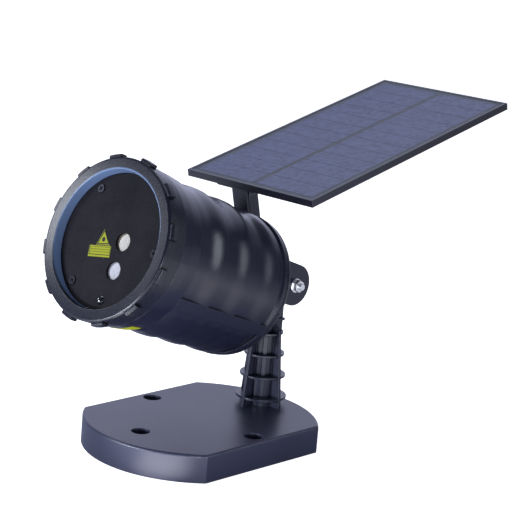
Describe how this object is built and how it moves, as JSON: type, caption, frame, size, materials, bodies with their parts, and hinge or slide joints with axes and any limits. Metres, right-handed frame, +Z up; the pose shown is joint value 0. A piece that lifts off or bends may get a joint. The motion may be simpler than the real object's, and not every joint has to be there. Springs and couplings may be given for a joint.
{
  "type": "light projector",
  "caption": "Garden light projector with a ribbed tilting head and a tilting solar panel, on a finned post and a flat screw-down base.",
  "frame": {"origin": "centre of the base's underside, on the plane it rests on", "axes": "+Z up, the projector points to -Y, +X to the right seen from the front"},
  "size_m": [0.112, 0.3301, 0.2176],
  "materials": {
    "base_plastic": "fine-textured moulded plastic",
    "post_plastic": "satin moulded plastic",
    "shell_plastic": "satin moulded plastic",
    "bezel_plastic": "satin moulded plastic",
    "face_texture": "coarse spark-eroded texture",
    "seal_rubber": "moulded rubber",
    "plated_steel": "bright zinc plated",
    "dark_screw": "black oxide",
    "warm_glass": "coated optical window",
    "cool_glass": "coated optical window",
    "sensor_dome": "polished dark dome",
    "label_vinyl": "blank printed vinyl",
    "laser_brass": "turned",
    "grating_film": "embossed film",
    "sink_aluminium": "milled",
    "tray_plastic": "plain moulded plastic",
    "cell_wrap": "shrink wrap",
    "circuit_green": "solder mask",
    "switch_black": "plain moulded plastic",
    "button_rubber": "soft-touch",
    "lead_pvc": "smooth cable sheath",
    "tray_frame": "satin moulded plastic",
    "laminate_grey": "satin laminate",
    "cell_silicon": "blue-violet silicon",
    "panel_resin": "clear resin sheet"
  },
  "bodies": {
    "base": {"base_shell": "base_plastic", "stake_post": "post_plastic", "post_bolt": "plated_steel", "pivot_bolt": "plated_steel", "pivot_nut": "plated_steel", "pivot_washers": "plated_steel", "pivot_spacer": "post_plastic"},
    "head": {"housing_shell": "shell_plastic", "front_bezel": "bezel_plastic", "bezel_seal": "seal_rubber", "face_plate": "face_texture", "face_screws": "dark_screw", "upper_window": "warm_glass", "lower_window": "cool_glass", "light_sensor": "sensor_dome", "face_label": "label_vinyl", "belly_label": "label_vinyl", "green_laser_module": "laser_brass", "red_laser_module": "laser_brass", "star_gratings": "grating_film", "heat_sink": "sink_aluminium", "battery_tray": "tray_plastic", "battery_cells": "cell_wrap", "driver_board": "circuit_green", "rear_cover": "shell_plastic", "rear_seal": "seal_rubber", "rear_screws": "dark_screw", "power_switch": "switch_black", "switch_board": "circuit_green", "lead_grommet": "seal_rubber", "lead_tail": "lead_pvc"},
    "button": {"power_button": "button_rubber"},
    "panel": {"panel_arm": "post_plastic", "arm_cover": "post_plastic", "arm_screws": "plated_steel", "panel_lead": "lead_pvc", "panel_tray": "tray_frame", "cell_board": "laminate_grey", "solar_cells": "cell_silicon", "panel_sheet": "panel_resin"}
  },
  "joints": [
    {"name": "head_tilt", "type": "hinge", "parent": "base", "child": "head", "pos_m": [0, 0.0544, 0.1024], "axis": [-1, 0, 0], "range_deg": [-25, 30]},
    {"name": "panel_tilt", "type": "hinge", "parent": "head", "child": "panel", "pos_m": [0, 0.0544, 0.1024], "axis": [-1, 0, 0], "range_deg": [0, 30]},
    {"name": "button_press", "type": "slide", "parent": "head", "child": "button", "axis": [0, -0.9373, 0.3486], "range_m": [0, 0.0015], "stiffness_N_per_m": 400}
  ]
}
